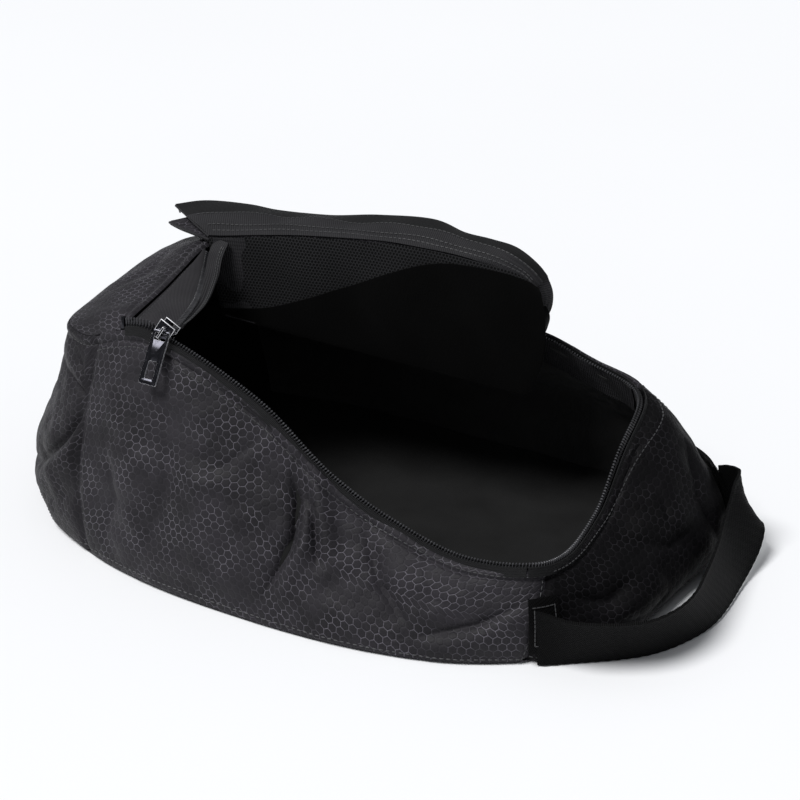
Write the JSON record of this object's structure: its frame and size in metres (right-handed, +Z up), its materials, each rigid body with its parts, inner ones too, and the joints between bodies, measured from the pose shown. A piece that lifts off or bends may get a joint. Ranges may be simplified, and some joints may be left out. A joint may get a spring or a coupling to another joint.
{
  "type": "shoe bag",
  "caption": "Soft wedge-shaped shoe bag lying on its base, zip mouth open, mesh-lined lid folded back and webbing carry handle at the toe end.",
  "frame": {"origin": "centre of the bag's base, on the surface it lies on", "axes": "+Z up, +X from the heel end towards the toe end with the handle, +Y from the zipped side towards the lid's hinge side"},
  "size_m": [0.4197, 0.236, 0.1583],
  "materials": {
    "ripstop_nylon": "black nylon with a hexagon ripstop grid, slight sheen",
    "lining": "plain black polyester lining, matt",
    "mesh_cloth": "black spacer mesh with small round holes",
    "ribbed_tape": "black woven tape, finely ribbed, topstitched",
    "webbing": "black woven polyester webbing",
    "zip_coil": "black nylon zip coil, satin",
    "gunmetal": "gunmetal plated zinc, bright at the edges",
    "stiffener": "foam board"
  },
  "bodies": {
    "bag": {"base_panel": "ripstop_nylon", "front_wall": "ripstop_nylon", "toe_panel": "ripstop_nylon", "back_wall": "ripstop_nylon", "heel_panel": "ripstop_nylon", "heel_top_panel": "ripstop_nylon", "lid_corner_gusset": "ripstop_nylon", "front_lining": "lining", "toe_lining": "lining", "back_lining": "lining", "heel_lining": "lining", "heel_top_lining": "lining", "base_lining": "lining", "zip_tape_front": "ribbed_tape", "zip_tape_toe": "ribbed_tape", "zip_tape_back": "ribbed_tape", "back_edge_binding": "ribbed_tape", "handle_anchor_front": "webbing", "handle_anchor_back": "webbing", "zip_chain_body": "zip_coil", "zip_chain_closed": "zip_coil", "zip_end_stop": "gunmetal", "base_board": "stiffener"},
    "lid_back": {"lid_back_panel": "ripstop_nylon", "lid_back_mesh": "mesh_cloth"},
    "lid_middle": {"lid_middle_panel": "ripstop_nylon", "lid_middle_mesh": "mesh_cloth", "lid_side_band": "ribbed_tape"},
    "lid_front": {"lid_front_panel": "ripstop_nylon", "lid_front_band": "ribbed_tape", "zip_tape_lid": "ribbed_tape", "zip_chain_lid": "zip_coil"},
    "slider": {"slider_body": "gunmetal", "slider_bail": "gunmetal"},
    "puller": {"puller": "gunmetal"},
    "handle": {"handle_webbing": "webbing"}
  },
  "joints": [
    {"name": "lid_hinge", "type": "hinge", "parent": "bag", "child": "lid_back", "pos_m": [-0.0955, 0.076, 0.1235], "axis": [-0.9963, -0.0056, 0.086], "range_deg": [0, 15.7]},
    {"name": "lid_fold", "type": "hinge", "parent": "lid_back", "child": "lid_middle", "pos_m": [-0.0955, 0.016, 0.104], "axis": [0.9692, 0.1944, -0.1512], "range_deg": [0, 89], "deforming": ["lid_corner_gusset"]},
    {"name": "lid_ridge", "type": "hinge", "parent": "lid_middle", "child": "lid_front", "pos_m": [-0.0955, 0.024, 0.148], "axis": [0.9863, 0.1648, -0.0055], "range_deg": [0, 114]},
    {"name": "zip_slide", "type": "slide", "parent": "bag", "child": "slider", "axis": [0.8854, -0.0065, -0.4648], "range_m": [0, 0.16]},
    {"name": "puller_swing", "type": "hinge", "parent": "slider", "child": "puller", "pos_m": [-0.06903, -0.08049, 0.13748], "axis": [-0.9892, -0.1217, 0.0819], "range_deg": [0, 145]},
    {"name": "handle_lift", "type": "hinge", "parent": "bag", "child": "handle", "pos_m": [0.159, -0.082, 0.033], "axis": [-0.1744, -0.9826, -0.064], "range_deg": [0, 95]}
  ],
  "couplings": [
    {"joint": "lid_hinge", "follows": "lid_fold", "ratio": 0.1745},
    {"joint": "lid_ridge", "follows": "lid_fold", "ratio": 1.2733}
  ]
}
